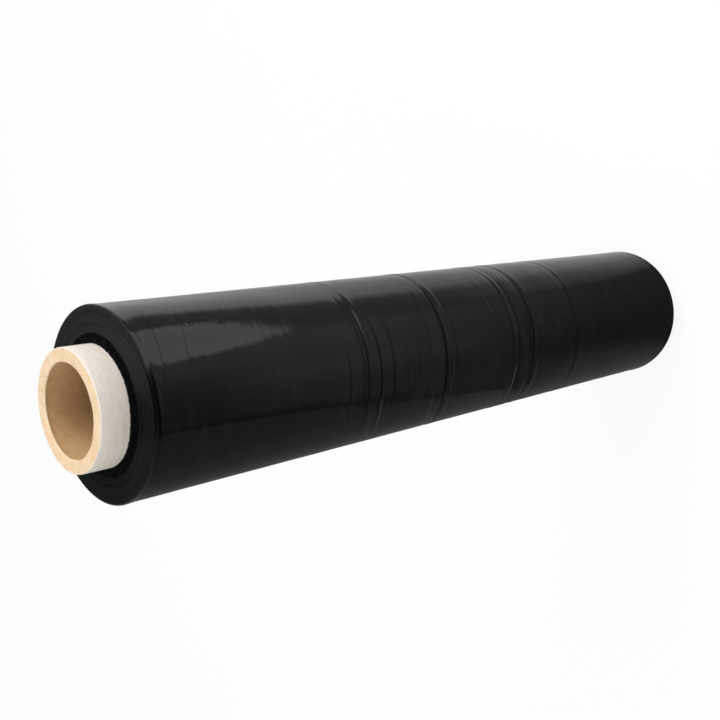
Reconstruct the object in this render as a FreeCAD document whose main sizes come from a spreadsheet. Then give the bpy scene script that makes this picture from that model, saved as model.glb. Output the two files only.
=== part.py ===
import FreeCAD, Part
import math
import os
import Sketcher

# Stretch wrap roll: stretch film wound on a paper core that stands out of it at both ends.
# The roll stands on the core's lower end. The origin is the centre of that end and +Z runs up the axis.
# The film's loose end lies on the +Y side. Lengths are in millimetres, angles in degrees.

# The driving sizes, each written once. Every other size is worked out from them.
SIZES = [
    # the inside of the core, which spindles and hand grips are made for
    ("core_bore_diameter", 50.0),
    ("core_wall", 7.0),
    # how far the core stands out of the film's end faces
    ("core_overhang", 17.0),
    # the worn edges of the core's cut ends
    ("core_edge_bevel", 0.6),
    # the width of the film is the length of the wound roll
    ("film_width", 500.0),
    # the radial thickness of all the turns together
    ("film_build", 19.5),
    # the first turns were wound wider and stand out as a collar round the core
    ("collar_height", 2.0),
    ("collar_width", 3.0),
    ("collar_bevel", 0.7),
    # the film's edges are thicker than its middle, so the roll ends in a low bead
    ("bead_height", 0.3),
    ("bead_run", 11.0),
    ("rim_bevel", 1.2),
    # the lines between the turns on the end faces
    ("turn_pitch", 2.4),
    ("turn_line_width", 0.6),
    ("turn_line_depth", 0.35),
    # ridges round the roll where the film runs thick
    ("strong_band_width", 4.0),
    ("strong_band_height", 0.35),
    ("faint_band_width", 2.4),
    ("faint_band_height", 0.18),
    # the loose end: a lengthwise step that fades back into the turn below it
    ("tail_step", 0.6),
    ("tail_sweep", 40.0),
    ("tail_bearing", 118.0),
]

# Each band's distance down from the film's upper end face, and its kind.
BANDS = [
    ("upper_faint", 127.0, "faint"),
    ("upper_pair_first", 138.5, "strong"),
    ("upper_pair_second", 143.5, "strong"),
    ("upper_follower", 152.5, "faint"),
    ("middle_forerunner", 200.0, "faint"),
    ("middle_pair_first", 212.0, "strong"),
    ("middle_pair_second", 217.0, "strong"),
    ("middle_follower", 264.0, "faint"),
    ("lower_pair_first", 283.0, "strong"),
    ("lower_pair_second", 287.5, "strong"),
    ("lower_twin_first", 302.0, "strong"),
    ("lower_twin_second", 307.0, "strong"),
    ("lower_follower", 360.0, "strong"),
    ("lower_faint", 384.0, "faint"),
]

# Radii and heights that several features share, as formulas on the driving sizes.
FILM_INNER = "(sizes.core_bore_diameter / 2 + sizes.core_wall)"
FILM_OUTER = f"({FILM_INNER} + sizes.film_build)"
FILM_MIDDLE = f"({FILM_INNER} + sizes.film_build / 2)"
COLLAR_OUTER = f"({FILM_INNER} + sizes.collar_width)"
BEAD_OUTER = f"({FILM_OUTER} + sizes.bead_height)"
LOWER_FACE = "sizes.core_overhang"
UPPER_FACE = "(sizes.core_overhang + sizes.film_width)"
CORE_LENGTH = "(sizes.film_width + 2 * sizes.core_overhang)"


def make_sheet(document):
    """Put the driving sizes and the places of the bands in the document's spreadsheet."""
    sheet = document.addObject("Spreadsheet::Sheet", "sizes")
    cells = SIZES + [(f"{name}_place", place) for name, place, kind in BANDS]
    for row, (alias, value) in enumerate(cells, start=1):
        sheet.set(f"A{row}", str(value))
        sheet.setAlias(f"A{row}", alias)
    document.recompute()
    return sheet


def make_body(document, name):
    """Start a sub-part as an empty body of its own."""
    body = document.addObject("PartDesign::Body", name)
    body.Label = name
    document.recompute()
    return body


def make_sketch(body, name, plane_role):
    """Attach an empty sketch to one of the body's own origin planes."""
    plane = next(item for item in body.Origin.OriginFeatures if item.Role == plane_role)
    sketch = body.newObject("Sketcher::SketchObject", name)
    sketch.AttachmentSupport = [(plane, "")]
    sketch.MapMode = "FlatFace"
    return sketch


def bind(sketch, constraint, formula):
    """Add a dimension to the sketch and tie it to a formula on the sheet's sizes."""
    index = sketch.addConstraint(constraint)
    sketch.setExpression(f"Constraints[{index}]", formula)


def arc_between(start, end, radius, side):
    """Find the arc from start to end: side 1 has its centre left of the way, -1 right of it."""
    chord = end - start
    middle = (start + end) * 0.5
    left = FreeCAD.Vector(-chord.y, chord.x, 0).normalize()
    rise = math.sqrt(radius**2 - (chord.Length / 2) ** 2)
    centre = middle + left * (rise * side)
    circle = Part.Circle(centre, FreeCAD.Vector(0, 0, 1), radius)
    first, last = (start, end) if side > 0 else (end, start)
    first_angle = math.atan2(first.y - centre.y, first.x - centre.x)
    last_angle = math.atan2(last.y - centre.y, last.x - centre.x)
    return Part.ArcOfCircle(circle, first_angle, last_angle)


def draw_outline(sheet, sketch, corners, arcs=None):
    """Draw one closed outline whose corners are pairs of formulas.

    arcs gives, for the side that leaves a corner, a radius formula and the side its centre is on.
    """
    arcs = arcs or {}
    points = [FreeCAD.Vector(*[float(sheet.evalExpression(formula)) for formula in corner]) for corner in corners]
    count = len(points)
    starts, ends = [], []
    for index, point in enumerate(points):
        following = points[(index + 1) % count]
        if index in arcs:
            radius, side = arcs[index]
            edge = sketch.addGeometry(arc_between(point, following, float(sheet.evalExpression(radius)), side))
            starts.append((edge, 1 if side > 0 else 2))
            ends.append((edge, 2 if side > 0 else 1))
            bind(sketch, Sketcher.Constraint("Radius", edge, float(sheet.evalExpression(radius))), radius)
        else:
            edge = sketch.addGeometry(Part.LineSegment(point, following))
            starts.append((edge, 1))
            ends.append((edge, 2))
    for index, (across, up) in enumerate(corners):
        edge, vertex = starts[index]
        bind(sketch, Sketcher.Constraint("DistanceX", -1, 1, edge, vertex, points[index].x), across)
        bind(sketch, Sketcher.Constraint("DistanceY", -1, 1, edge, vertex, points[index].y), up)
        sketch.addConstraint(Sketcher.Constraint("Coincident", *ends[index - 1], *starts[index]))


def turn_about_axis(body, sketch, kind, name):
    """Turn a sketch fully round the roll's axis, as added or as cut material."""
    feature = body.newObject(f"PartDesign::{kind}", name)
    feature.Profile = sketch
    feature.ReferenceAxis = (sketch, ["V_Axis"])
    feature.Angle = 360.0
    sketch.Visibility = False
    return feature


def make_core(document):
    """Make the paper core: a wound tube with a white outer paper, cut square and softened at its ends."""
    body = make_body(document, "core_tube")
    sketch = make_sketch(body, "core_section", "XY_Plane")
    for radius in ("sizes.core_bore_diameter / 2", FILM_INNER):
        circle = sketch.addGeometry(Part.Circle(FreeCAD.Vector(0, 0, 0), FreeCAD.Vector(0, 0, 1), 1.0))
        sketch.addConstraint(Sketcher.Constraint("Coincident", circle, 3, -1, 1))
        bind(sketch, Sketcher.Constraint("Radius", circle, 1.0), radius)
    tube = body.newObject("PartDesign::Pad", "core_length")
    tube.Profile = sketch
    tube.setExpression("Length", CORE_LENGTH)
    document.recompute()
    bevel = body.newObject("PartDesign::Chamfer", "core_ends")
    rims = [f"Edge{number}" for number, edge in enumerate(tube.Shape.Edges, start=1) if edge.Closed]
    bevel.Base = (tube, rims)
    bevel.setExpression("Size", "sizes.core_edge_bevel")
    body.Tip = bevel
    return body


def end_corners(face, outward):
    """List one film end's corners from the core outwards; outward is '+' at the upper end."""
    inward = "-" if outward == "+" else "+"
    collar_top = f"{face} {outward} sizes.collar_height"
    return [
        (FILM_INNER, collar_top),
        (f"{COLLAR_OUTER} - sizes.collar_bevel", collar_top),
        (COLLAR_OUTER, f"{collar_top} {inward} sizes.collar_bevel"),
        (COLLAR_OUTER, face),
        (f"{BEAD_OUTER} - sizes.rim_bevel", face),
        (BEAD_OUTER, f"{face} {inward} sizes.rim_bevel"),
        (FILM_OUTER, f"{face} {inward} sizes.bead_run"),
    ]


def draw_film_profile(sheet, sketch):
    """Draw half the section of the wound film: collars, flat end faces, bevelled rims and edge beads."""
    lower = end_corners(LOWER_FACE, "-")
    upper = end_corners(UPPER_FACE, "+")
    fade_length = "(sizes.bead_run - sizes.rim_bevel)"
    fade_radius = f"({fade_length} ^ 2 + sizes.bead_height ^ 2) / (2 * sizes.bead_height)"
    lower_fade_side = len(lower) - 2
    upper_fade_side = len(lower)
    arcs = {lower_fade_side: (fade_radius, -1), upper_fade_side: (fade_radius, -1)}
    draw_outline(sheet, sketch, lower + upper[::-1], arcs)


def add_band(sheet, body, name, kind):
    """Add one gauge band: a low ridge round the roll, on a root inside it. One past the bead is left out."""
    width = f"sizes.{kind}_band_width"
    height = f"sizes.{kind}_band_height"
    room = f"sizes.film_width - sizes.bead_run - sizes.{name}_place - {width} / 2"
    if sheet.evalExpression(room) < 0:
        return
    middle = f"({UPPER_FACE} - sizes.{name}_place)"
    low = f"{middle} - {width} / 2"
    high = f"{middle} + {width} / 2"
    crest = (f"{FILM_OUTER} + {height}", middle)
    corners = [(FILM_MIDDLE, low), (FILM_OUTER, low), crest, (FILM_OUTER, high), (FILM_MIDDLE, high)]
    sketch = make_sketch(body, f"{name}_section", "XZ_Plane")
    draw_outline(sheet, sketch, corners)
    turn_about_axis(body, sketch, "Revolution", name)


def draw_turn_lines(sheet, sketch, face):
    """Draw the V grooves between the turns as diamonds centred on an end face."""
    room = f"sizes.film_build - sizes.collar_width - sizes.rim_bevel - sizes.turn_line_width"
    count = int(sheet.evalExpression(f"({room}) / sizes.turn_pitch"))
    for number in range(1, count + 1):
        radius = f"{COLLAR_OUTER} + {number} * sizes.turn_pitch"
        corners = [
            (f"{radius} - sizes.turn_line_width / 2", face),
            (radius, f"{face} - sizes.turn_line_depth"),
            (f"{radius} + sizes.turn_line_width / 2", face),
            (radius, f"{face} + sizes.turn_line_depth"),
        ]
        draw_outline(sheet, sketch, corners)


def add_tail(sheet, body):
    """Add the loose end: a crescent on the last turn that ends in a lengthwise step."""
    sketch = make_sketch(body, "tail_section", "XY_Plane")
    sketch.setExpression("AttachmentOffset.Base.z", f"{LOWER_FACE} + sizes.rim_bevel")
    fade_bearing = "(sizes.tail_bearing - sizes.tail_sweep)"
    step_radius = f"({FILM_OUTER} + sizes.tail_step)"
    root_radius = f"({FILM_OUTER} - sizes.rim_bevel)"
    corners = [
        (f"{step_radius} * cos(sizes.tail_bearing)", f"{step_radius} * sin(sizes.tail_bearing)"),
        (f"{root_radius} * cos(sizes.tail_bearing)", f"{root_radius} * sin(sizes.tail_bearing)"),
        (f"{root_radius} * cos({fade_bearing})", f"{root_radius} * sin({fade_bearing})"),
    ]
    draw_outline(sheet, sketch, corners, {1: (root_radius, -1), 2: (FILM_OUTER, 1)})
    tail = body.newObject("PartDesign::Pad", "tail")
    tail.Profile = sketch
    tail.setExpression("Length", "sizes.film_width - 2 * sizes.rim_bevel")
    return tail


def make_film(document, sheet):
    """Make the wound film: the roll, its bands, the turn lines on both end faces and the loose end."""
    body = make_body(document, "film_roll")
    profile = make_sketch(body, "film_profile", "XZ_Plane")
    draw_film_profile(sheet, profile)
    turn_about_axis(body, profile, "Revolution", "wound_film")
    for name, place, kind in BANDS:
        add_band(sheet, body, name, kind)
    for name, face in (("lower", LOWER_FACE), ("upper", UPPER_FACE)):
        lines = make_sketch(body, f"{name}_turn_profiles", "XZ_Plane")
        draw_turn_lines(sheet, lines, face)
        turn_about_axis(body, lines, "Groove", f"{name}_turn_lines")
    body.Tip = add_tail(sheet, body)
    return body


def check(document, parts):
    """Stop if any feature failed or any sub-part isn't one sound solid."""
    for item in document.Objects:
        if "Invalid" in item.State or "Error" in item.State:
            raise RuntimeError(f"{item.Name} failed: {item.State}")
    for part in parts:
        if part.Shape.isNull() or not part.Shape.isValid() or len(part.Shape.Solids) != 1:
            raise RuntimeError(f"{part.Label} isn't one valid solid")


def write(parts):
    """Write each sub-part to a STEP file named after its label."""
    os.makedirs("parts", exist_ok=True)
    for part in parts:
        part.Shape.exportStep(f"parts/{part.Label}.step")
        box = part.Shape.optimalBoundingBox(False)
        print(part.Label, f"{part.Shape.Volume:.0f} mm3", f"{box.XLength:.2f} x {box.YLength:.2f} x {box.ZLength:.2f}")


def main():
    """Build the roll and write its parts."""
    document = FreeCAD.newDocument("stretch_wrap_roll")
    sheet = make_sheet(document)
    parts = [make_core(document), make_film(document, sheet)]
    document.recompute()
    check(document, parts)
    write(parts)


main()
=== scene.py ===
"""Looks of a stretch wrap roll: glossy black film wound tight on a paperboard core.

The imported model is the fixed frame. Both of its solids are stood for by finer pieces of the same form, which
carry the relief of the wound film and of the cut board. The pieces' lengths are millimetres, and bearings are
degrees from +X towards -Y, so the side at 90 faces the camera. Materials and the studio work in metres.
"""

import logging
import math
import random
from dataclasses import dataclass
from enum import Enum
from typing import Any, Mapping, Sequence

import bmesh
import bpy
import numpy as np
from mathutils import Matrix, Vector


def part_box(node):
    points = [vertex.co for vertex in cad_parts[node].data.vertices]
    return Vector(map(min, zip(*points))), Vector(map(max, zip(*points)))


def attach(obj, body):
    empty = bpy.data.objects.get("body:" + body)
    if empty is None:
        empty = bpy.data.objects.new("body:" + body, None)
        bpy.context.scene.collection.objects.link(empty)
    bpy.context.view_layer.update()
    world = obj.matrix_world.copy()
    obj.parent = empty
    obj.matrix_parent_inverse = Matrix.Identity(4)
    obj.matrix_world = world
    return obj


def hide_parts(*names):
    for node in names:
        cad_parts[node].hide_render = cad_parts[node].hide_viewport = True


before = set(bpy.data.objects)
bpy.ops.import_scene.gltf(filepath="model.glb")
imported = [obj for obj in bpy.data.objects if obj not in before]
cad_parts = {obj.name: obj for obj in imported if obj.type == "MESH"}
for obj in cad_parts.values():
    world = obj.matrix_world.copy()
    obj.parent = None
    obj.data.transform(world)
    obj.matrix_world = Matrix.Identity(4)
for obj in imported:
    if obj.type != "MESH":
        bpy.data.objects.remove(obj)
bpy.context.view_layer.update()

LOG = logging.getLogger("stretch_wrap_roll")
MM = 0.001
BODY = "root"
WHITE = (1.0, 1.0, 1.0)

Colour = tuple[float, float, float]
Place = tuple[float, float, float]
Section = list[tuple[float, float]]


# Shader maths


class Signal:
    """One socket of a node tree, on which Python's operators do sums."""

    def __init__(self, graph: "Graph", socket: bpy.types.NodeSocket) -> None:
        """Keeps an output socket and the graph that new nodes go into."""
        self.graph = graph
        self.socket = socket

    def _sum(self, operation: str, *values: Any) -> "Signal":
        """Returns a Math node's result for the operation on the values."""
        return self.graph.node("ShaderNodeMath", {"operation": operation}, dict(enumerate(values)))

    def output(self, name: str) -> "Signal":
        """Returns another output of the same node."""
        return Signal(self.graph, self.socket.node.outputs[name])

    def __add__(self, other: Any) -> "Signal":
        """Returns self + other."""
        return self._sum("ADD", self, other)

    __radd__ = __add__

    def __sub__(self, other: Any) -> "Signal":
        """Returns self - other."""
        return self._sum("SUBTRACT", self, other)

    def __rsub__(self, other: Any) -> "Signal":
        """Returns other - self."""
        return self._sum("SUBTRACT", other, self)

    def __mul__(self, other: Any) -> "Signal":
        """Returns self * other."""
        return self._sum("MULTIPLY", self, other)

    __rmul__ = __mul__

    def __truediv__(self, other: Any) -> "Signal":
        """Returns self / other."""
        return self._sum("DIVIDE", self, other)

    def __abs__(self) -> "Signal":
        """Returns the size of self without its sign."""
        return self._sum("ABSOLUTE", self)

    def root(self) -> "Signal":
        """Returns the square root."""
        return self._sum("SQRT", self)

    def sine(self) -> "Signal":
        """Returns the sine of self in radians."""
        return self._sum("SINE", self)

    def angle(self, other: "Signal") -> "Signal":
        """Returns the angle of the point (other, self) in radians."""
        return self._sum("ARCTAN2", self, other)

    def larger(self, other: Any) -> "Signal":
        """Returns the larger of self and other."""
        return self._sum("MAXIMUM", self, other)

    def fraction(self) -> "Signal":
        """Returns what is left of self past the whole number below it."""
        return self._sum("FRACT", self)

    def ramp(self, low: float, high: float, start: float = 0.0, stop: float = 1.0) -> "Signal":
        """Returns a smooth run from start, where self is low or less, to stop, where it is high or more."""
        values = {"Value": self, 1: low, 2: high, 3: start, 4: stop}
        return self.graph.node("ShaderNodeMapRange", {"interpolation_type": "SMOOTHSTEP"}, values)


Axes = tuple[Signal, Signal, Signal]


class Graph:
    """The nodes of one material or world."""

    def __init__(self, tree: bpy.types.NodeTree) -> None:
        """Empties the node tree, so that it holds only what is made here."""
        tree.nodes.clear()
        self.tree = tree

    def node(
        self,
        kind: str,
        settings: Mapping[str, Any] | None = None,
        values: Mapping[int | str, Any] | None = None,
        output: int | str = 0,
    ) -> Signal:
        """Adds a node.

        Args:
            kind: the node's type.
            settings: its properties, set before the sockets.
            values: a number, colour, vector or Signal for each named or numbered input.
            output: the output to return.

        Returns:
            The chosen output.
        """
        made = self.tree.nodes.new(kind)
        for name, value in (settings or {}).items():
            setattr(made, name, value)
        for key, value in (values or {}).items():
            socket = made.inputs[key]
            if isinstance(value, Signal):
                self.tree.links.new(value.socket, socket)
            elif isinstance(value, tuple) and socket.type == "RGBA":
                socket.default_value = (*value[:3], 1.0)
            else:
                socket.default_value = value
        return Signal(self, made.outputs[output])

    def blend(self, share: Any, first: Any, second: Any) -> Signal:
        """Returns a colour that goes from first to second as share goes from 0 to 1."""
        return self.node("ShaderNodeMix", {"data_type": "RGBA"}, {0: share, 6: first, 7: second}, output=2)

    def place(self) -> Axes:
        """Returns the three Object coordinates, in metres."""
        where = self.node("ShaderNodeTexCoord", output="Object")
        split = self.node("ShaderNodeSeparateXYZ", values={"Vector": where})
        return split, split.output("Y"), split.output("Z")

    def attribute(self, name: str) -> Signal:
        """Returns the named attribute of the mesh as a number."""
        return self.node("ShaderNodeAttribute", {"attribute_name": name}, output="Fac")

    def noise(self, x: Any, y: Any, z: Any, detail: float = 3.0, roughness: float = 0.5) -> Signal:
        """Makes cloud noise.

        Args:
            x: the first coordinate.
            y: the second coordinate.
            z: the third coordinate.
            detail: the number of finer layers.
            roughness: how strong they are.

        Returns:
            The noise, from 0 to 1.
        """
        vector = self.node("ShaderNodeCombineXYZ", values={"X": x, "Y": y, "Z": z})
        values = {"Vector": vector, "Scale": 1.0, "Detail": detail, "Roughness": roughness}
        return self.node("ShaderNodeTexNoise", values=values)

    def clouds(
        self, axes: Axes, across: float, along: float, detail: float = 3.0, roughness: float = 0.5
    ) -> Signal:
        """Returns cloud noise with so many clouds to a metre across the roll and along it."""
        x, y, z = axes
        return self.noise(x * across, y * across, z * along, detail, roughness)

    def bump(self, height: Signal, distance: float, under: Signal | None = None) -> Signal:
        """Returns a normal that follows a relief.

        Args:
            height: the relief, where 1 is the full distance.
            distance: how high 1 stands, in metres.
            under: the normal that this one is laid on.

        Returns:
            The new normal.
        """
        values = {"Strength": 1.0, "Distance": distance, "Height": height}
        if under is not None:
            values["Normal"] = under
        return self.node("ShaderNodeBump", values=values)

    def surface(self, colour: Signal, roughness: Signal, ior: float, normal: Signal, **more: Any) -> None:
        """Makes the shader of a solid's surface, with more inputs by name, and links it to the output."""
        values = {"Base Color": colour, "Roughness": roughness, "IOR": ior, "Normal": normal, **more}
        self.finish(self.node("ShaderNodeBsdfPrincipled", values=values))

    def finish(self, shader: Signal, world: bool = False) -> None:
        """Links a shader to the output of a material or world."""
        output = self.tree.nodes.new("ShaderNodeOutputWorld" if world else "ShaderNodeOutputMaterial")
        self.tree.links.new(shader.socket, output.inputs["Surface"])


def new_material(name: str) -> tuple[bpy.types.Material, Graph]:
    """Makes a material without nodes.

    Args:
        name: the material's name.

    Returns:
        The material and its graph.
    """
    material = bpy.data.materials.new(name)
    material.use_nodes = True
    return material, Graph(material.node_tree)


def linked(name: str, data: bpy.types.ID) -> bpy.types.Object:
    """Makes an object in the scene.

    Args:
        name: the object's name.
        data: its mesh, camera or light.

    Returns:
        The new object.
    """
    made = bpy.data.objects.new(name, data)
    bpy.context.scene.collection.objects.link(made)
    return made


# Finishes


@dataclass(frozen=True)
class FilmFinish:
    """Glossy black polyethylene film, as seen on the outer turn.

    The streaks round the roll, the wide pucker, the small ruffle and the frets are heights. The frets are the
    puckers between two bearings that make the highlight's upper edge jagged.
    """

    name: str = "black_film"
    black: Colour = (0.0030, 0.0030, 0.0033)
    # The grey of the painted highlights on ridge crests and of the random lighter wear.
    highlight_and_wear_grey: Colour = (0.050, 0.050, 0.052)
    gloss: float = 0.055
    ior: float = 1.5
    streak: float = 0.020
    pucker: float = 0.15
    ruffle: float = 0.025
    wear: float = 0.20
    fret: float = 0.12
    fret_bearings: tuple[float, float] = (40.0, 48.0)
    fret_fade: float = 2.0

    def make(self) -> bpy.types.Material:
        """Returns the film's material."""
        material, graph = new_material(self.name)
        axes = graph.place()
        # The crease attribute holds painted shade lines: Metallic on the near-black film darkens its
        # reflection there.
        crease = graph.attribute("crease")
        # Painted highlights on ridge crests lighten the colour, together with random lighter wear.
        painted_crest_highlight = graph.attribute("painted_crest_highlight")
        streaks = graph.clouds(axes, 26, 950, detail=4, roughness=0.6)
        clouds = graph.clouds(axes, 30, 70, roughness=0.55)
        ruffles = graph.clouds(axes, 120, 240, detail=2, roughness=0.55)
        pulled = graph.clouds(axes, 55, 330, detail=4, roughness=0.62)
        grain = streaks * (0.55 + 0.9 * clouds)
        highlight_and_wear = (painted_crest_highlight * (0.5 + streaks)).larger(self.wear * (pulled + clouds - 1.0).larger(0.0))

        fine = graph.bump(grain, self.streak * MM)
        fretted = graph.bump(self.frets(graph, axes), self.fret * MM, fine)
        ruffled = graph.bump(ruffles, self.ruffle * MM, fretted)
        colour = graph.blend(highlight_and_wear, self.black, self.highlight_and_wear_grey)
        roughness = self.gloss + 0.06 * (clouds - 0.4).larger(0.0) + 0.03 * grain + 0.2 * crease
        normal = graph.bump(clouds, self.pucker * MM, ruffled)
        graph.surface(colour, roughness, self.ior, normal, Metallic=crease * 0.92)
        return material

    def frets(self, graph: Graph, axes: Axes) -> Signal:
        """Makes the short puckers beside the upper rim.

        Args:
            graph: the film's graph.
            axes: the three coordinates.

        Returns:
            The relief, from 0 to 1.
        """
        x, y, z = axes
        first, last = self.fret_bearings
        bearing = (0.0 - y).angle(x) * math.degrees(1.0)
        started = bearing.ramp(first - self.fret_fade, first + self.fret_fade)
        stopped = bearing.ramp(last - self.fret_fade, last + self.fret_fade, 1.0, 0.0)
        near_rim = z.ramp(0.420, 0.470) * z.ramp(0.510, 0.515, 1.0, 0.0)
        return graph.clouds(axes, 130, 400, detail=2, roughness=0.6) * started * stopped * near_rim


@dataclass(frozen=True)
class EdgeFinish:
    """The edges of the turns on an end face, and the loose torn turns beside the core.

    The even turns go from black to pale, with painted shade away from the light and in front of the core. A
    shine of 0.5 would be the full strength.
    """

    name: str = "film_edges"
    black: Colour = (0.0094, 0.0094, 0.0097)
    pale: Colour = (0.0260, 0.0262, 0.0268)
    torn_and_shade_black: Colour = (0.0016, 0.0016, 0.0018)
    fleck: Colour = (0.042, 0.042, 0.044)
    shine: float = 0.06
    ior: float = 1.5
    turn_line: float = 0.05
    torn_radius: float = 37.4

    def make(self) -> bpy.types.Material:
        """Returns the material of the end faces."""
        material, graph = new_material(self.name)
        axes = graph.place()
        x, y, _ = axes
        radius = (x * x + y * y).root()
        turns = graph.noise(radius * 5200, x * 9, y * 9, roughness=0.65)
        wide_turns = graph.noise(radius * 700, x * 6, y * 6, detail=2)
        flecks = graph.clouds(axes, 1100, 1100, detail=4, roughness=0.7)
        ragged = graph.clouds(axes, 380, 380, roughness=0.65)

        edge = radius + (ragged - 0.5) * 0.003
        torn = edge.ramp((self.torn_radius - 0.5) * MM, (self.torn_radius + 0.5) * MM, 1.0, 0.0)
        even = graph.blend((turns * 0.5 + wide_turns * 0.9 - 0.35).ramp(0.15, 0.65), self.black, self.pale)
        # Painted shade: the even turns darken away from the light, in front, and in front of the core.
        for shade in self.shades(x, y):
            even = graph.blend(shade, even, self.torn_and_shade_black)
        loose = graph.blend(flecks.ramp(0.60, 0.72), self.torn_and_shade_black, self.fleck)
        colour = graph.blend(torn, even, loose)
        roughness = 0.45 + 0.3 * torn - 0.2 * torn * flecks.ramp(0.5, 0.7)
        normal = graph.bump(turns * (1 - torn) + flecks * torn * 4.0, self.turn_line * MM)
        graph.surface(colour, roughness, self.ior, normal, **{"Specular IOR Level": self.shine})
        return material

    @staticmethod
    def shades(x: Signal, y: Signal) -> tuple[Signal, Signal, Signal]:
        """Paints shade on the face away from the light, in front, and in front of the core.

        Args:
            x: the x coordinate.
            y: the y coordinate.

        Returns:
            The three shades, from 0 to 1.
        """
        away = x.ramp(-0.055, 0.045, 0.52, 0.0)
        front = y.ramp(-0.050, -0.020, 0.4, 0.0)
        middle = x.ramp(-0.026, -0.010, 0.40, 0.92) * x.ramp(0.002, 0.015, 1.0, 0.0)
        return away, front, y.ramp(-0.041, -0.026, 1.0, 0.0) * middle


@dataclass(frozen=True)
class CoreSize:
    """The sizes of the core and of its paper's seam, which climbs by helix in each turn."""

    bore_radius: float = 25.0
    outer_radius: float = 32.0
    height: float = 534.0
    helix: float = 92.0
    seam_turn: float = 0.45


@dataclass(frozen=True)
class BoardFinish:
    """Spiral-wound paperboard: white outer paper, raw cut ends and brown plies at the bore."""

    name: str = "core_board"
    paper: Colour = (0.78, 0.73, 0.66)
    paper_shade: Colour = (0.66, 0.58, 0.50)
    cut: Colour = (0.84, 0.64, 0.425)
    cut_shade: Colour = (0.68, 0.47, 0.27)
    ply: Colour = (0.525, 0.335, 0.172)
    ply_shade: Colour = (0.38, 0.228, 0.105)
    ply_pitch: float = 0.62
    grain: float = 0.07
    ior: float = 1.45
    size: CoreSize = CoreSize()

    def make(self) -> bpy.types.Material:
        """Returns the board's material."""
        material, graph = new_material(self.name)
        axes = graph.place()
        x, y, z = axes
        radius = (x * x + y * y).root()
        mottle = graph.clouds(axes, 160, 160, detail=5, roughness=0.62)
        fibre = graph.clouds(axes, 900, 900, roughness=0.7)
        rings = graph.clouds(axes, 60, 1500, roughness=0.6)
        flecks = graph.clouds(axes, 800, 800, detail=2, roughness=0.6)

        inner, outer, half = self.size.bore_radius, self.size.outer_radius, self.size.height / 2
        bore = radius.ramp((inner + 0.3) * MM, (inner + 0.6) * MM, 1.0, 0.0)
        bore = bore * abs(z - half * MM).ramp((half - 1.3) * MM, (half - 0.7) * MM, 1.0, 0.0)
        ragged = radius + (fibre - 0.5) * 0.0007
        outside = ragged.ramp((outer - 0.75) * MM, (outer - 0.1) * MM)

        climb = self.size.helix * MM
        part = (z / climb + y.angle(x) / math.tau + self.size.seam_turn).fraction()
        seam = (abs(part - 0.5) * climb).ramp(0.0002, 0.0011, 1.0, 0.0)

        plies = (radius * (math.tau / (self.ply_pitch * MM))).sine()
        ply_line = (plies + (fibre - 0.5) * 1.2).ramp(0.45, 0.95)

        paper = graph.blend((rings * 0.8 + mottle * 0.4).ramp(0.35, 0.9), self.paper, self.paper_shade)
        paper = graph.blend(seam * 0.35, paper, self.paper_shade)
        cut = graph.blend(mottle.ramp(0.25, 0.75) * 0.7, self.cut, self.cut_shade)
        cut = graph.blend(ply_line * 0.35, cut, self.cut_shade)
        cut = graph.blend(flecks.ramp(0.53, 0.66) * 0.5, cut, self.paper)
        cut = graph.blend(flecks.ramp(0.34, 0.46, 1.0, 0.0) * 0.35, cut, self.ply)
        inside = graph.blend(mottle.ramp(0.25, 0.8) * 0.5, self.ply, self.ply_shade)
        inside = graph.blend(seam * 0.08, inside, self.ply_shade)
        inside = graph.blend(flecks.ramp(0.58, 0.72) * 0.22, inside, self.cut)
        colour = graph.blend(bore, graph.blend(outside, cut, paper), inside)

        relief = fibre * 0.7 + ply_line * (1 - bore) * (1 - outside) * -0.8
        relief = relief + seam * -1.2 + rings * outside * 0.5
        roughness = 0.72 + 0.2 * mottle - 0.18 * outside
        graph.surface(colour, roughness, self.ior, graph.bump(relief, self.grain * MM))
        return material


# Pieces


def turned(name: str, section: Section, columns: int) -> bpy.types.Object:
    """Turns a closed section round the axis into a closed mesh.

    Args:
        name: the piece's name.
        section: the section's corners as (radius, height), in mm and in order.
        columns: the number of steps in the full turn.

    Returns:
        The new object, linked to the scene.
    """
    shape = bmesh.new()
    ring = [shape.verts.new((radius * MM, 0.0, height * MM)) for radius, height in section]
    edges = [shape.edges.new((ring[i - 1], ring[i])) for i in range(len(ring))]
    bmesh.ops.spin(
        shape,
        geom=ring + edges,
        cent=(0.0, 0.0, 0.0),
        axis=(0.0, 0.0, 1.0),
        angle=math.tau,
        steps=columns,
        use_merge=True,
    )
    bmesh.ops.remove_doubles(shape, verts=shape.verts, dist=1e-7)
    bmesh.ops.recalc_face_normals(shape, faces=shape.faces)
    mesh = bpy.data.meshes.new(name)
    shape.to_mesh(mesh)
    shape.free()
    mesh.shade_smooth()
    return linked(name, mesh)


def read_points(piece: bpy.types.Object) -> np.ndarray:
    """Returns a mesh's vertices as rows of x, y and z in mm."""
    flat = np.empty(len(piece.data.vertices) * 3, np.float32)
    piece.data.vertices.foreach_get("co", flat)
    return flat.reshape(-1, 3).astype(float) / MM


def write_points(piece: bpy.types.Object, points: np.ndarray) -> None:
    """Gives a mesh's vertices new places, as rows of x, y and z in mm."""
    piece.data.vertices.foreach_set("co", (points * MM).astype(np.float32).ravel())
    piece.data.update()


def ease(value: np.ndarray, low: float, high: float) -> np.ndarray:
    """Returns 0 below low, 1 above high, and a smooth run between."""
    part = np.clip((value - low) / (high - low), 0.0, 1.0)
    return part * part * (3.0 - 2.0 * part)


def bell(value: np.ndarray) -> np.ndarray:
    """Returns 1 where value is 0, and less on both sides of it."""
    return np.exp(-(value**2))


def gap(first: np.ndarray | float, second: float) -> np.ndarray:
    """Returns how far first lies past second on a circle, in degrees from -180 to 180."""
    return (np.asarray(first) - second + 180.0) % 360.0 - 180.0


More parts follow.
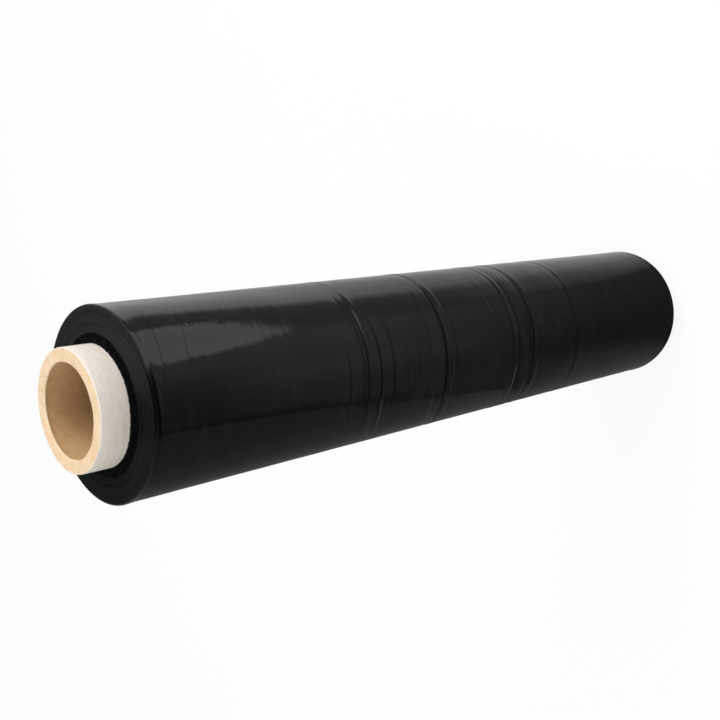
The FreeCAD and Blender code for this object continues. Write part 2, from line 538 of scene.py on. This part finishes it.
class Ripple:
    """Low waves that run round the roll, the same on every run."""

    def __init__(
        self, seed: int, waves: int, lengths: tuple[float, float], size: float, lobes: int = 3
    ) -> None:
        """Draws the waves.

        Args:
            seed: the start of the random draws.
            waves: how many waves are added up.
            lengths: the shortest and longest wave along the roll, in mm.
            size: the largest wave's height, in mm.
            lobes: how many times at most a wave rises and falls round the roll.
        """
        draw = random.Random(seed)
        self.waves = []
        for _ in range(waves):
            length = math.exp(draw.uniform(math.log(lengths[0]), math.log(lengths[1])))
            height = size * math.sqrt(length / lengths[1]) * draw.uniform(0.5, 1.0)
            self.waves.append((length, height, draw.randint(-lobes, lobes), draw.uniform(0.0, math.tau)))

    def height(self, bearing: np.ndarray, drop: np.ndarray) -> np.ndarray:
        """Returns the waves' height in mm at each bearing and drop."""
        total = np.zeros(np.broadcast(bearing, drop).shape)
        for length, size, lobes, phase in self.waves:
            total = total + size * np.sin(math.tau * drop / length + lobes * np.radians(bearing) + phase)
        return total


class Form(Enum):
    """The cross-section of a ridge in the wound film."""

    SWELL = "rounded"
    CREASE = "sharp"
    GROOVE = "pressed in"


@dataclass(frozen=True)
class Ridge:
    """A ridge or crease in the film's outer turn.

    Attributes:
        drop: how far it lies below the film's upper face where it is strongest.
        height: how far it stands out.
        width: half its width.
        form: its cross-section.
        middle: the bearing where it is strongest.
        spread: half the range of bearings over which it is strong.
        rest: the share of its height that goes all round.
        slant: how far it drops for each degree of bearing.
        dark: how strong the painted shade line at its foot is.
        light: how strong the painted highlight on its crest is.
    """

    drop: float
    height: float
    width: float = 1.1
    form: Form = Form.SWELL
    middle: float = 80.0
    spread: float = 200.0
    rest: float = 0.0
    slant: float = 0.0
    dark: float = 0.0
    light: float = 0.0

    def strength(self, bearing: np.ndarray) -> np.ndarray:
        """Returns how strong the ridge is at each bearing, from 0 to 1."""
        away = np.abs(gap(bearing, self.middle))
        window = 1.0 - ease(away, self.spread * 0.75, self.spread * 1.25 + 4.0)
        return self.rest + (1.0 - self.rest) * window

    def across(self, bearing: np.ndarray, drop: np.ndarray) -> np.ndarray:
        """Returns how far each point is from the ridge's line, in half widths."""
        away = gap(bearing, self.middle)
        turn = np.radians(away)
        wander = 0.35 * np.sin(turn * 3.0 + self.drop) + 0.18 * np.sin(turn * 7.0 + self.drop)
        line = self.drop + self.slant * away + wander * (0.6 if self.slant == 0.0 else 1.0)
        return (drop - line) / self.width

    def relief(self, bearing: np.ndarray, drop: np.ndarray) -> np.ndarray:
        """Returns the height that the ridge adds, in mm."""
        away = self.across(bearing, drop)
        if self.form is Form.CREASE:
            shape = np.exp(-1.6 * np.abs(away))
        else:
            shape = bell(away)
        sign = -1.0 if self.form is Form.GROOVE else 1.0
        return sign * self.height * shape * self.strength(bearing)

    def painted_crest_highlight(self, bearing: np.ndarray, drop: np.ndarray) -> np.ndarray:
        """Returns the painted highlight on the ridge's crest, from 0 to 1."""
        away = self.across(bearing, drop) * self.width
        return self.light * bell(away / 0.6) * self.strength(bearing)

    def line(self, bearing: np.ndarray, drop: np.ndarray) -> np.ndarray:
        """Returns the painted shade line at the ridge's foot, from 0 to 1."""
        away = self.across(bearing, drop) * self.width
        foot = 0.55 * self.width if self.form is Form.SWELL else 0.0
        breadth = 0.4 if self.form is Form.CREASE else 0.35 + 0.3 * self.width
        return self.dark * bell((away - foot) / breadth) * self.strength(bearing)


RIDGES = (
    Ridge(127.8, 0.05, 0.8, Form.GROOVE, middle=97, spread=20, rest=0.1, dark=0.6),
    Ridge(136.8, 0.10, 1.0, Form.GROOVE, middle=40, spread=26, rest=0.1, dark=0.25),
    Ridge(139.2, 0.06, 0.8, Form.GROOVE, middle=88, spread=28, rest=0.15, dark=0.55),
    Ridge(142.6, 0.10, 0.9, Form.GROOVE, middle=88, spread=30, rest=0.2, dark=0.85),
    Ridge(145.2, 0.27, 1.8, middle=38, spread=34, rest=0.3),
    Ridge(152.5, 0.12, 0.8, Form.GROOVE, middle=95, spread=30, rest=0.2, dark=0.9),
    Ridge(154.6, 0.12, 1.1, middle=140, spread=24, rest=0.1, light=0.5),
    Ridge(163.7, 0.10, 0.9, Form.GROOVE, middle=90, spread=26, rest=0.1, dark=0.75),
    Ridge(176.0, 0.04, 0.9, Form.GROOVE, middle=85, spread=22, dark=0.25),
    Ridge(186.0, 0.05, 1.1, Form.GROOVE, middle=78, spread=26, dark=0.2),
    Ridge(197.5, 0.06, 1.0, Form.GROOVE, middle=60, spread=40, rest=0.1, dark=0.3),
    Ridge(201.5, 0.06, 1.2, middle=144, spread=22, light=0.4),
    Ridge(211.2, 0.22, 1.9, Form.GROOVE, middle=80, spread=95, rest=0.5, dark=1.0),
    Ridge(215.6, 0.20, 1.5, middle=60, spread=90, rest=0.5),
    Ridge(217.6, 0.05, 1.0, middle=44, spread=14, light=0.45),
    Ridge(221.0, 0.05, 1.0, Form.GROOVE, middle=110, spread=60, rest=0.1, dark=0.25),
    Ridge(245.0, 0.05, 1.6, middle=35, spread=25, rest=0.3),
    Ridge(261.5, 0.09, 1.4, Form.GROOVE, middle=46, spread=24, dark=0.25),
    Ridge(263.0, 0.03, 1.0, middle=56, spread=8, light=0.3),
    Ridge(280.5, 0.18, 1.9, Form.GROOVE, middle=60, spread=95, rest=0.5, dark=0.45),
    Ridge(283.8, 0.16, 1.2, middle=80, spread=95, rest=0.5),
    Ridge(284.6, 0.04, 1.0, middle=136, spread=24, light=0.7),
    Ridge(289.2, 0.06, 1.6, Form.GROOVE, middle=142, spread=24, dark=0.7),
    Ridge(286.8, 0.16, 1.2, Form.GROOVE, middle=100, spread=70, rest=0.4, dark=0.75),
    Ridge(294.5, 0.06, 1.2, middle=50, spread=50, rest=0.2, dark=0.2),
    Ridge(299.4, 0.10, 1.0, Form.GROOVE, middle=95, spread=30, rest=0.2, dark=0.6),
    Ridge(302.6, 0.24, 2.0, Form.GROOVE, middle=75, spread=95, rest=0.5, dark=0.9),
    Ridge(307.4, 0.20, 1.7, middle=60, spread=90, rest=0.5),
    Ridge(309.6, 0.04, 1.0, middle=138, spread=26, light=0.35),
    Ridge(329.0, 0.07, 1.7, middle=52, spread=26, rest=0.3, dark=0.2),
    Ridge(336.0, 0.05, 1.4, middle=60, spread=26, rest=0.3, dark=0.15),
    Ridge(355.6, 0.16, 1.8, Form.GROOVE, middle=62, spread=70, rest=0.35, dark=0.5),
    Ridge(359.4, 0.14, 1.3, middle=60, spread=70, rest=0.35),
    Ridge(384.0, 0.06, 1.2, middle=60, spread=60, rest=0.3, dark=0.2),
    Ridge(418.0, 0.04, 1.4, Form.GROOVE, middle=70, spread=50, rest=0.3, dark=0.12),
    Ridge(462.0, 0.04, 1.8, middle=42, spread=20, rest=0.3),
    Ridge(12.6, 0.045, 0.7, Form.CREASE, middle=50, spread=26, slant=-0.165, dark=0.5),
    Ridge(29.8, 0.045, 0.7, Form.CREASE, middle=48, spread=22, slant=-0.22, dark=0.4),
    Ridge(20.0, 0.02, 0.8, Form.CREASE, middle=80, spread=14, slant=-0.3, dark=0.2),
)


@dataclass
class FilmRoll:
    """The wound film: its outer turn, the edges of its turns and the loose end at the back.

    The first turns stand out of the end faces as a collar, and the film's thicker edges make a low bead at
    each end. The relief stays within the band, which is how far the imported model's ridges stand out. A ridge
    has rings at ridge_rows, in half widths, and no two rings are nearer than nearest_rows.
    """

    core_radius: float = CoreSize.outer_radius
    radius: float = 51.5
    lower_face: float = 17.0
    width: float = 500.0
    collar_height: float = 2.0
    collar_width: float = 3.0
    bead: float = 0.3
    bead_run: float = 7.5
    rim: float = 1.2
    band: float = 0.35
    tail_step: float = 0.55
    tail_sweep: float = 40.0
    tail_bearing: float = 242.0
    columns: int = 208
    plain_row: float = 2.7
    ridge_rows: tuple[float, ...] = (-1.6, -1.0, -0.5, 0.0, 0.5, 1.0, 1.6)
    nearest_rows: float = 0.4
    wrinkle_count: int = 90
    ridges: Sequence[Ridge] = RIDGES
    finish: FilmFinish = FilmFinish()
    edge_finish: EdgeFinish = EdgeFinish()

    @property
    def upper_face(self) -> float:
        """The height of the film's upper face."""
        return self.lower_face + self.width

    def drops(self) -> list[float]:
        """Returns how far down each ring of the side lies, close together where a ridge runs."""
        first, last = self.rim, self.width - self.rim
        wanted = [last, *np.arange(first, last, self.plain_row)]
        for start, stop, row in ((first, 7.0, 0.5), (7.0, 36.0, 0.6), (self.width - 9.0, last, 0.9)):
            wanted += list(np.arange(start, stop, row))
        for ridge in self.ridges:
            if ridge.slant == 0.0:
                wanted += [ridge.drop + ridge.width * share for share in self.ridge_rows]
        kept: list[float] = []
        for drop in sorted(wanted):
            if not kept or drop - kept[-1] > self.nearest_rows:
                kept.append(float(drop))
        kept[-1] = last
        return kept

    def end(self, step: float) -> Section:
        """Gives an end face's section as (radius, rise above the face), from the core to the rim.

        Args:
            step: the distance between the rings of the face.

        Returns:
            The corners, in order.
        """
        inner, shoulder = self.core_radius, self.core_radius + self.collar_width
        high = self.collar_height
        corners = [(inner, high - 0.7), (inner + 0.5, high - 0.2), (inner + 1.1, high), (inner + 1.7, high)]
        corners += [(shoulder - 0.7, high - 0.1), (shoulder - 0.15, high - 0.5), (shoulder, high - 1.2)]
        corners += [(shoulder + 0.12, 0.25), (shoulder + 0.4, 0.0)]
        edge = self.radius + self.bead
        turns = np.arange(shoulder + 0.4 + step, edge - self.rim - 0.2, step)
        corners += [(float(radius), 0.0) for radius in turns]
        for lift in map(math.radians, (0.0, 22.0, 45.0, 68.0)):
            corners.append((edge - self.rim * (1 - math.sin(lift)), -self.rim * (1 - math.cos(lift))))
        return corners

    def section(self) -> Section:
        """Returns the closed section of the film as (radius, height)."""
        top = [(radius, self.upper_face + rise) for radius, rise in self.end(0.52)]
        rings = [(self.radius + self.bead * self.bead_share(drop), drop) for drop in self.drops()]
        side = [(radius, self.upper_face - drop) for radius, drop in rings]
        bottom = [(radius, self.lower_face - rise) for radius, rise in self.end(0.9)]
        return top + side + bottom[::-1]

    def bead_share(self, drop: float) -> float:
        """Returns how full the bead of an end is at a drop, from 0 to 1."""
        from_end = min(drop, self.width - drop)
        return float(1.0 - ease(np.array(from_end), 0.8, self.bead_run))

    def build(self) -> bpy.types.Object:
        """Returns the film as one closed piece."""
        piece = turned("film_wrap", self.section(), self.columns)
        points = read_points(piece)
        bearing = np.degrees(np.arctan2(-points[:, 1], points[:, 0])) % 360.0
        radius = np.hypot(points[:, 0], points[:, 1])
        drop = self.upper_face - points[:, 2]

        bearing = self.gather_at_tail(bearing, drop, radius)
        on_side = ease(radius, self.radius - 0.9, self.radius - 0.35)
        radius = radius + on_side * self.side_relief(bearing, drop)
        rise = self.face_relief(bearing, radius, drop) * (1.0 - on_side)
        upper = drop < self.width / 2
        height = points[:, 2] + np.where(upper, rise, -rise)

        angle = -np.radians(bearing)
        height = height - on_side * self.drift(bearing, drop)
        moved = np.stack([radius * np.cos(angle), radius * np.sin(angle), height], axis=1)
        limit = np.array([self.radius + self.band - 0.005, self.radius + self.bead - 0.005])
        moved[:, :2] = np.clip(moved[:, :2], -limit, limit)
        write_points(piece, moved)
        self.mark_creases(piece, bearing, drop, on_side)
        piece.data.materials.append(self.finish.make())
        piece.data.materials.append(self.edge_finish.make())
        self.dress_ends(piece)
        return piece

    def drift(self, bearing: np.ndarray, drop: np.ndarray) -> np.ndarray:
        """Returns how far the ridges wander down the roll at each bearing, in mm."""
        inside = ease(drop, 30.0, 100.0) * (1.0 - ease(drop, 420.0, 490.0))
        above = 4.0 * bell(gap(bearing, 15.0) / 32.0)
        past = np.clip((bearing - 112.0) / 48.0, 0.0, 1.2)
        below = 12.0 * past**1.4 * (1.0 - ease(bearing, 172.0, 300.0))
        return inside * (above + below)

    def dress_ends(self, piece: bpy.types.Object) -> None:
        """Gives the edges of the turns their own finish.

        Args:
            piece: the film's object.
        """
        rim = (self.radius + self.bead - self.rim - 0.1) * MM
        for face in piece.data.polygons:
            if math.hypot(face.center.x, face.center.y) < rim:
                face.material_index = 1

    def gather_at_tail(self, bearing: np.ndarray, drop: np.ndarray, radius: np.ndarray) -> np.ndarray:
        """Draws two columns of vertices together where the loose end stops, for a crisp edge.

        Args:
            bearing: the bearing of each vertex.
            drop: how far below the upper face each vertex lies.
            radius: the distance of each vertex from the axis.

        Returns:
            The new bearings.
        """
        step = 360.0 / self.columns
        away = gap(bearing, self.tail_bearing)
        nearest = np.round(away / step - 0.5) + 0.5
        target = np.sign(nearest) * 0.04 + (nearest - np.sign(nearest) * 0.5) * step
        share = 1.0 - ease(np.abs(away), step * 0.5, step * 9.0)
        outer = ease(radius, self.radius - 3.0, self.radius - 0.5)
        pull = (target - away) * share * outer
        wave = 0.5 * np.sin(drop / 37.0) + 0.3 * np.sin(drop / 13.0 + 1.0) + 0.12 * np.sin(drop / 4.1)
        return bearing + pull + wave * share * outer

    def side_relief(self, bearing: np.ndarray, drop: np.ndarray) -> np.ndarray:
        """Returns how far the outer turn stands out of its plain radius, in mm."""
        waves = Ripple(11, 9, (16.0, 90.0), 0.024).height(bearing, drop)
        fine = Ripple(12, 12, (4.0, 12.0), 0.0035, lobes=2).height(bearing, drop)
        patch = 0.5 + 0.5 * np.sin(drop / 31.0 + np.radians(bearing) * 2.0)
        total = waves + fine * patch
        for ridge in (*self.ridges, *self.wrinkles()):
            total = total + ridge.relief(bearing, drop)
        inside = ease(drop, 0.6, 5.0) * (1.0 - ease(drop, self.width - 5.0, self.width - 0.6))
        return total * inside + self.shoulder_lines(bearing, drop) + self.tail(bearing, drop)

    def wrinkles(self) -> list[Ridge]:
        """Returns the short fine wrinkles that run beside the strong ridges."""
        draw = random.Random(5)
        strong = [ridge for ridge in self.ridges if ridge.slant == 0.0 and ridge.height > 0.1]
        made = []
        for _ in range(self.wrinkle_count):
            beside = draw.choice(strong)
            wrinkle = Ridge(
                drop=beside.drop + draw.choice((-1.0, 1.0)) * draw.uniform(2.0, 12.0),
                height=draw.uniform(0.02, 0.08),
                width=draw.uniform(0.55, 1.0),
                form=draw.choice((Form.SWELL, Form.CREASE)),
                middle=draw.uniform(0.0, 360.0),
                spread=draw.uniform(8.0, 30.0),
                slant=draw.uniform(-0.03, 0.03),
                dark=draw.choice((0.0, 0.0, 0.2, 0.35)),
                light=draw.choice((0.0, 0.0, 0.08, 0.18)),
            )
            made.append(wrinkle)
        return made

    def shoulder_lines(self, bearing: np.ndarray, drop: np.ndarray) -> np.ndarray:
        """Returns the shallow grooves between the turns that slipped at the upper rim, in mm."""
        near = 1.0 - ease(np.abs(gap(bearing, 110.0)), 40.0, 95.0)
        total = np.zeros_like(drop)
        for place, depth in ((2.0, 0.05), (4.4, 0.05)):
            line = place + 0.5 * np.sin(np.radians(bearing) * 2.0 + place)
            total = total - depth * (0.25 + 0.75 * near) * bell((drop - line) / 0.5)
        return total

    def tail(self, bearing: np.ndarray, drop: np.ndarray) -> np.ndarray:
        """Returns the step of the loose end, which grows to its edge, in mm."""
        back = gap(bearing, self.tail_bearing)
        grown = np.where(back > 0.0, np.clip(1.0 - back / self.tail_sweep, 0.0, 1.0), 0.0)
        along = ease(drop, 0.6, 2.4) * (1.0 - ease(drop, self.width - 2.4, self.width - 0.6))
        lift = 1.0 + 0.18 * np.sin(drop / 9.0) + 0.1 * np.sin(drop / 3.3)
        return self.tail_step * 0.85 * grown * along * (0.9 + 0.1 * lift * grown)

    def face_relief(self, bearing: np.ndarray, radius: np.ndarray, drop: np.ndarray) -> np.ndarray:
        """Returns how far the turns' edges and the collar's edge differ from flat, in mm."""
        shoulder, half = self.core_radius + self.collar_width, self.width / 2
        on_face = ease(radius, shoulder + 0.35, shoulder + 1.0)
        turns = Ripple(21, 10, (2.4, 8.0), 0.07, lobes=1)
        steps = turns.height(bearing, radius) - 0.12
        face = on_face * np.clip(steps, -0.5, 0.0) * (1.0 - 0.75 * ease(radius, 41.0, 47.0))

        on_collar = (1.0 - on_face) * ease(np.abs(drop - half), half + 0.2, half + 0.9)
        angle = np.radians(bearing)
        teeth = 0.22 * np.abs(np.sin(angle * 37.0)) + 0.2 * np.abs(np.sin(angle * 23.0 + 1.0))
        ragged = teeth + 0.15 * np.sin(angle * 5.0 + 2.0) + 0.15
        return face - on_collar * np.clip(ragged, 0.0, 0.7)

    def mark_creases(
        self, piece: bpy.types.Object, bearing: np.ndarray, drop: np.ndarray, on_side: np.ndarray
    ) -> None:
        """Stores the painted shade lines, which darken the film's reflection, and the painted highlights on
        ridge crests.

        Args:
            piece: the film's object.
            bearing: the bearing of each vertex.
            drop: how far below the upper face each vertex lies.
            on_side: 1 on the outer turn and 0 on the end faces.
        """
        painted_shade_marks = np.zeros_like(drop)
        painted_crest_highlight = np.zeros_like(drop)
        for ridge in (*self.ridges, *self.wrinkles()):
            painted_shade_marks = np.maximum(painted_shade_marks, ridge.line(bearing, drop))
            painted_crest_highlight = np.maximum(painted_crest_highlight, ridge.painted_crest_highlight(bearing, drop))
        # Painted shade lines just below the upper rim: round the lower side, and two where the side faces the
        # camera.
        facing = 1.0 - ease(np.abs(gap(bearing, 88.0)), 15.0, 24.0)
        under = 0.55 * ease(bearing, 104.0, 110.0) * (1.0 - ease(bearing, 175.0, 200.0))
        painted_shade_marks = np.maximum(painted_shade_marks, under * bell((drop - 0.8) / 1.3))
        for place, strength, width in ((0.9, 0.8, 1.2), (2.8, 1.0, 1.1)):
            line = place + 0.4 * np.sin(np.radians(bearing) * 2.0 + place)
            painted_shade_marks = np.maximum(painted_shade_marks, facing * strength * bell((drop - line) / width))
        for name, values in (("crease", painted_shade_marks), ("painted_crest_highlight", painted_crest_highlight)):
            layer = piece.data.attributes.new(name, "FLOAT", "POINT")
            layer.data.foreach_set("value", (values * on_side).astype(np.float32))


@dataclass
class PaperCore:
    """The paperboard tube that the film is wound on.

    Its walls have more rings near the ends, which are shown. A burr stands into the bore at both ends.
    """

    size: CoreSize = CoreSize()
    bevel: float = 0.6
    shown: float = 21.0
    near_row: float = 1.1
    middle_row: float = 12.0
    columns: int = 240
    burr: float = 0.42
    burr_reach: float = 1.6
    finish: BoardFinish = BoardFinish()

    def section(self) -> Section:
        """Returns the closed section of the tube as (radius, height)."""
        inner, outer, high = self.size.bore_radius, self.size.outer_radius, self.size.height
        near = list(np.arange(self.bevel + 0.8, self.shown, self.near_row))
        middle = list(np.arange(self.shown + 6.0, high - self.shown - 3.0, self.middle_row))
        walls = near + middle + [high - d for d in near[::-1]]
        rings = list(np.arange(inner + self.bevel + 0.3, outer - self.bevel - 0.1, 0.35))
        turns = [math.radians(angle) for angle in (0.0, 30.0, 60.0, 90.0)]
        rounds = [(self.bevel * (1 - math.sin(t)), self.bevel * (1 - math.cos(t))) for t in turns]

        section = [(outer - into, up) for into, up in rounds]
        section += [(outer, z) for z in walls]
        section += [(outer - into, high - up) for into, up in rounds[::-1]]
        section += [(r, high) for r in rings[::-1]]
        section += [(inner + into, high - up) for into, up in rounds]
        section += [(inner, z) for z in walls[::-1]]
        section += [(inner + into, up) for into, up in rounds[::-1]]
        section += [(r, 0.0) for r in rings]
        return [(float(r), float(z)) for r, z in section]

    def build(self) -> bpy.types.Object:
        """Returns the core as one closed piece."""
        piece = turned("paper_core", self.section(), self.columns)
        points = read_points(piece)
        bearing = np.degrees(np.arctan2(points[:, 1], points[:, 0]))
        radius = np.hypot(points[:, 0], points[:, 1])
        height = points[:, 2]
        inner, outer, high = self.size.bore_radius, self.size.outer_radius, self.size.height
        in_board = ease(radius, inner + 0.2, inner + 0.9) * (1.0 - ease(radius, outer - 0.9, outer - 0.2))
        from_end = np.minimum(height, high - height)
        on_cut = ease(-from_end, -0.5, -0.05)

        plies = np.abs(np.sin(math.pi * radius / 0.95 + 0.4 * np.sin(np.radians(bearing) * 3.0)))
        frayed = Ripple(31, 8, (1.2, 4.0), 0.05, lobes=9).height(bearing, radius * 3.0)
        sunk = on_cut * np.clip(0.10 * plies * in_board + np.abs(frayed) * 0.5, 0.0, 0.3)
        height = height + np.where(height > high / 2, -sunk, sunk)

        waves = Ripple(41, 9, (2.0, 9.0), 0.16, lobes=11).height(bearing, np.ones_like(height))
        at_end = 1.0 - ease(from_end, 0.5, self.burr_reach)
        in_bore = 1.0 - ease(radius, inner + 0.1, inner + 0.9)
        radius = radius - at_end * in_bore * np.clip(self.burr + waves, 0.1, 0.8)

        part = (height / self.size.helix + bearing / 360.0 + self.size.seam_turn) % 1.0
        seam = bell(np.abs(part - 0.5) * self.size.helix / 1.1)
        depth = np.where(radius > (inner + outer) / 2, -0.06, 0.02)
        radius = radius + np.where(from_end > 0.7, depth * seam, 0.0)
        angle = np.radians(bearing)
        write_points(piece, np.stack([radius * np.cos(angle), radius * np.sin(angle), height], axis=1))
        piece.data.materials.append(self.finish.make())
        return piece


# Camera, light and floor


@dataclass(frozen=True)
class Viewpoint:
    """Where the photograph was taken from."""

    position: Place = (0.057069, -0.4387, 0.751932)
    forward: Place = (-0.09514, 0.71887, -0.6886)
    up: Place = (0.99143, 0.00623, -0.13047)
    lens: float = 47.652
    sensor: float = 36.0

    def build(self) -> bpy.types.Object:
        """Returns the scene's camera."""
        data = bpy.data.cameras.new("camera")
        data.lens = self.lens
        data.sensor_width = self.sensor
        data.clip_start = 0.01
        camera = linked("camera", data)
        forward = Vector(self.forward).normalized()
        right = forward.cross(Vector(self.up)).normalized()
        up = right.cross(forward)
        turn = Matrix((right, up, -forward)).transposed().to_4x4()
        camera.matrix_world = Matrix.Translation(self.position) @ turn
        bpy.context.scene.camera = camera
        return camera


@dataclass(frozen=True)
class Lamp:
    """One soft light."""

    name: str
    place: Place
    target: Place
    size: tuple[float, float]
    power: float

    def build(self) -> bpy.types.Object:
        """Returns the lamp, turned to its target."""
        data = bpy.data.lights.new(self.name, "AREA")
        data.shape = "RECTANGLE"
        data.size, data.size_y = self.size
        data.energy = self.power
        lamp = linked(self.name, data)
        aim = (Vector(self.target) - Vector(self.place)).to_track_quat("-Z", "Y")
        lamp.matrix_world = Matrix.Translation(self.place) @ aim.to_matrix().to_4x4()
        lamp.visible_camera = False
        lamp.visible_glossy = False
        return lamp


@dataclass(frozen=True)
class FloorMap:
    """The painted reflection of the floor in the glossy film, where 1 is white.

    It is darkest in front of the roll and has a straight edge towards -X. Towards +X a painted bright wedge
    stands for a softbox's reflection, in front of the part that the large softbox lights. Each edge has a
    point and a normal.
    """

    edge_point: tuple[float, float] = (-0.342, -0.277)
    edge_normal: tuple[float, float] = (-0.904, 0.427)
    beyond: float = 0.13
    painted_wedge_start: float = 0.478
    painted_wedge_point: tuple[float, float] = (0.483, -0.288)
    painted_wedge_normal: tuple[float, float] = (0.7, -0.717)
    painted_wedge_stop: float = -0.04
    painted_wedge_light: float = 0.75
    lit: float = 0.53

    def shade(self, x: Signal, y: Signal) -> Signal:
        """Maps the whole floor.

        Args:
            x: the x coordinate.
            y: the y coordinate.

        Returns:
            The brightness.
        """
        side = self.sides(x, y) + self.painted_wedge_light * self.painted_wedge(x, y)
        # Painted sheen: the bright part of the floor towards +X, as the film mirrors it.
        edge = y + 0.015 + x.ramp(0.18, 0.34, 0.0, 0.025) - x.ramp(0.54, 0.68, 0.0, 0.045) - 0.45 * x * x
        share = (edge / (0.055 + 0.15 * x.larger(0.0))).ramp(-0.5, 0.5) * x.ramp(-0.05, 0.06)
        bright = self.lit + x.ramp(0.25, 0.5, 0.0, 0.33)
        return side + share * (bright - side)

    def sides(self, x: Signal, y: Signal) -> Signal:
        """Returns the brightness in front of the roll and beyond the straight edge."""
        reach = (x * x + y * y).root()
        towards = x / reach.larger(0.01)
        (point_x, point_y), (across, along) = self.edge_point, self.edge_normal
        bend = 0.05 * y.ramp(-0.45, -0.15) * y.ramp(-0.12, -0.02, 1.0, 0.0)
        past_edge = (x - point_x + bend) * across + (y - point_y) * along

        shadow = past_edge.ramp(-0.13, -0.012) * (0.65 - y.ramp(-0.3, -0.08, 0.0, 0.3))
        front = self.front(reach, towards) * (1.0 - shadow)
        side = front + past_edge.ramp(-0.005, 0.005) * (self.beyond - front)
        least = 0.02 + 0.1 * towards.ramp(-0.95, -0.3, 1.0, 0.0) * reach.ramp(0.15, 0.25, 1.0, 0.0)
        return side.larger(least) + 0.5 * reach.ramp(0.95, 1.15) * towards.ramp(-0.6, -0.2, 1.0, 0.0)

    @staticmethod
    def front(reach: Signal, towards: Signal) -> Signal:
        """Maps the floor in front of the roll.

        Args:
            reach: the distance from the roll's axis.
            towards: 1 towards +X and -1 towards -X.

        Returns:
            The brightness.
        """
        facing = 0.13 + towards.ramp(-0.6, 0.8, 0.0, 0.36) - towards.ramp(0.75, 0.95, 0.0, 0.2)
        near = reach.ramp(0.05, 0.5, 0.12, 1.0).larger(towards.ramp(0.75, 0.98, 0.0, 0.9))
        far = 1.0 - 0.55 * reach.ramp(0.55, 0.8) * towards.ramp(0.0, 0.5, 1.0, 0.0)
        far = far - 0.27 * reach.ramp(0.16, 0.30) * towards.ramp(0.05, 0.35)
        return 0.025 + facing * near * far

    def painted_wedge(self, x: Signal, y: Signal) -> Signal:
        """Returns 1 on the painted bright wedge and 0 beside it."""
        (point_x, point_y), (across, along) = self.painted_wedge_point, self.painted_wedge_normal
        started = (x - self.painted_wedge_start - 0.3 * (-0.448 - y).larger(0.0)).ramp(-0.003, 0.008)
        slanted = (across * (x - point_x) + along * (y - point_y)).ramp(-0.003, 0.008)
        return started * slanted * (self.painted_wedge_stop - y).ramp(-0.006, 0.012)


@dataclass(frozen=True)
class Studio:
    """The pale floor, the soft lamps and the white surroundings.

    The camera sees the floor bleached, and the film mirrors the floor's painted reflection map and a darker
    sky.
    """

    floor_size: float = 4.0
    floor_colour: Colour = (0.84, 0.84, 0.83)
    floor_map: FloorMap = FloorMap()
    bleach: float = 0.89
    white: float = 1.0
    ambient: float = 0.72
    sky: float = 0.16
    lamps: tuple[Lamp, ...] = (
        Lamp("key_softbox", (1.1, -0.1, 1.3), (0.0, 0.0, 0.35), (0.9, 0.9), 17.0),
        Lamp("fill_softbox", (-0.9, -1.0, 1.0), (0.0, 0.0, 0.35), (0.8, 0.8), 5.0),
    )

    def build(self) -> None:
        """Makes the floor, the lamps and the world."""
        self.build_floor()
        for lamp in self.lamps:
            lamp.build()
        self.build_world()
        bpy.context.scene.view_settings.view_transform = "Standard"

    def build_floor(self) -> bpy.types.Object:
        """Returns the floor, which keeps the roll's shadow."""
        shape = bmesh.new()
        bmesh.ops.create_grid(shape, x_segments=1, y_segments=1, size=self.floor_size)
        mesh = bpy.data.meshes.new("floor")
        shape.to_mesh(mesh)
        shape.free()
        floor = linked("floor", mesh)
        material, graph = new_material("floor")
        x, y, _ = graph.place()
        path = graph.node("ShaderNodeLightPath", output="Is Camera Ray")
        mirrored = path.output("Is Glossy Ray").larger(path.output("Is Transmission Ray"))
        diffuse = graph.node("ShaderNodeBsdfDiffuse", values={"Color": self.floor_colour})
        # Glossy rays see the floor's painted reflection map, an emission that stands for the surroundings.
        strength = self.floor_map.shade(x, y)
        glow = graph.node("ShaderNodeEmission", values={"Color": WHITE, "Strength": strength})
        white = graph.node("ShaderNodeEmission", values={"Color": WHITE, "Strength": self.white})
        seen = graph.node("ShaderNodeMixShader", values={0: self.bleach * path, 1: diffuse, 2: white})
        graph.finish(graph.node("ShaderNodeMixShader", values={0: mirrored, 1: seen, 2: glow}))
        mesh.materials.append(material)
        return floor

    def build_world(self) -> None:
        """Makes the surroundings: white to the camera, even soft light to the roll."""
        world = bpy.data.worlds.new("surroundings")
        bpy.context.scene.world = world
        world.use_nodes = True
        graph = Graph(world.node_tree)
        path = graph.node("ShaderNodeLightPath", output="Is Camera Ray")
        shown = path.larger(path.output("Is Transmission Ray"))
        strength = self.ambient + (self.white - self.ambient) * shown
        towards = graph.node("ShaderNodeSeparateXYZ", values={"Vector": graph.node("ShaderNodeTexCoord")})
        sky = self.sky + towards.ramp(0.05, 0.8, 0.0, 0.42) + towards.ramp(-0.9, -0.2, 0.3, 0.0)
        strength = strength + (sky - self.ambient) * path.output("Is Glossy Ray")
        background = graph.node("ShaderNodeBackground", values={"Color": WHITE, "Strength": strength})
        graph.finish(background, world=True)


def seat(piece: bpy.types.Object, node: str) -> None:
    """Lets a piece stand for a solid of the frame.

    Args:
        piece: the new piece.
        node: the solid that it stands for.
    """
    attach(piece, BODY)
    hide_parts(node)
    low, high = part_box(node)
    faces = sum(len(face.vertices) - 2 for face in piece.data.polygons)
    LOG.info("%s: %d triangles, for %s (%.3f m high)", piece.name, faces, node, high.z - low.z)


def main() -> None:
    """Builds the roll, the studio and the camera."""
    logging.basicConfig(level=logging.INFO, format="%(name)s: %(message)s")
    Viewpoint().build()
    seat(PaperCore().build(), "core_tube")
    seat(FilmRoll().build(), "film_roll")
    Studio().build()


if __name__ == "__main__":
    main()
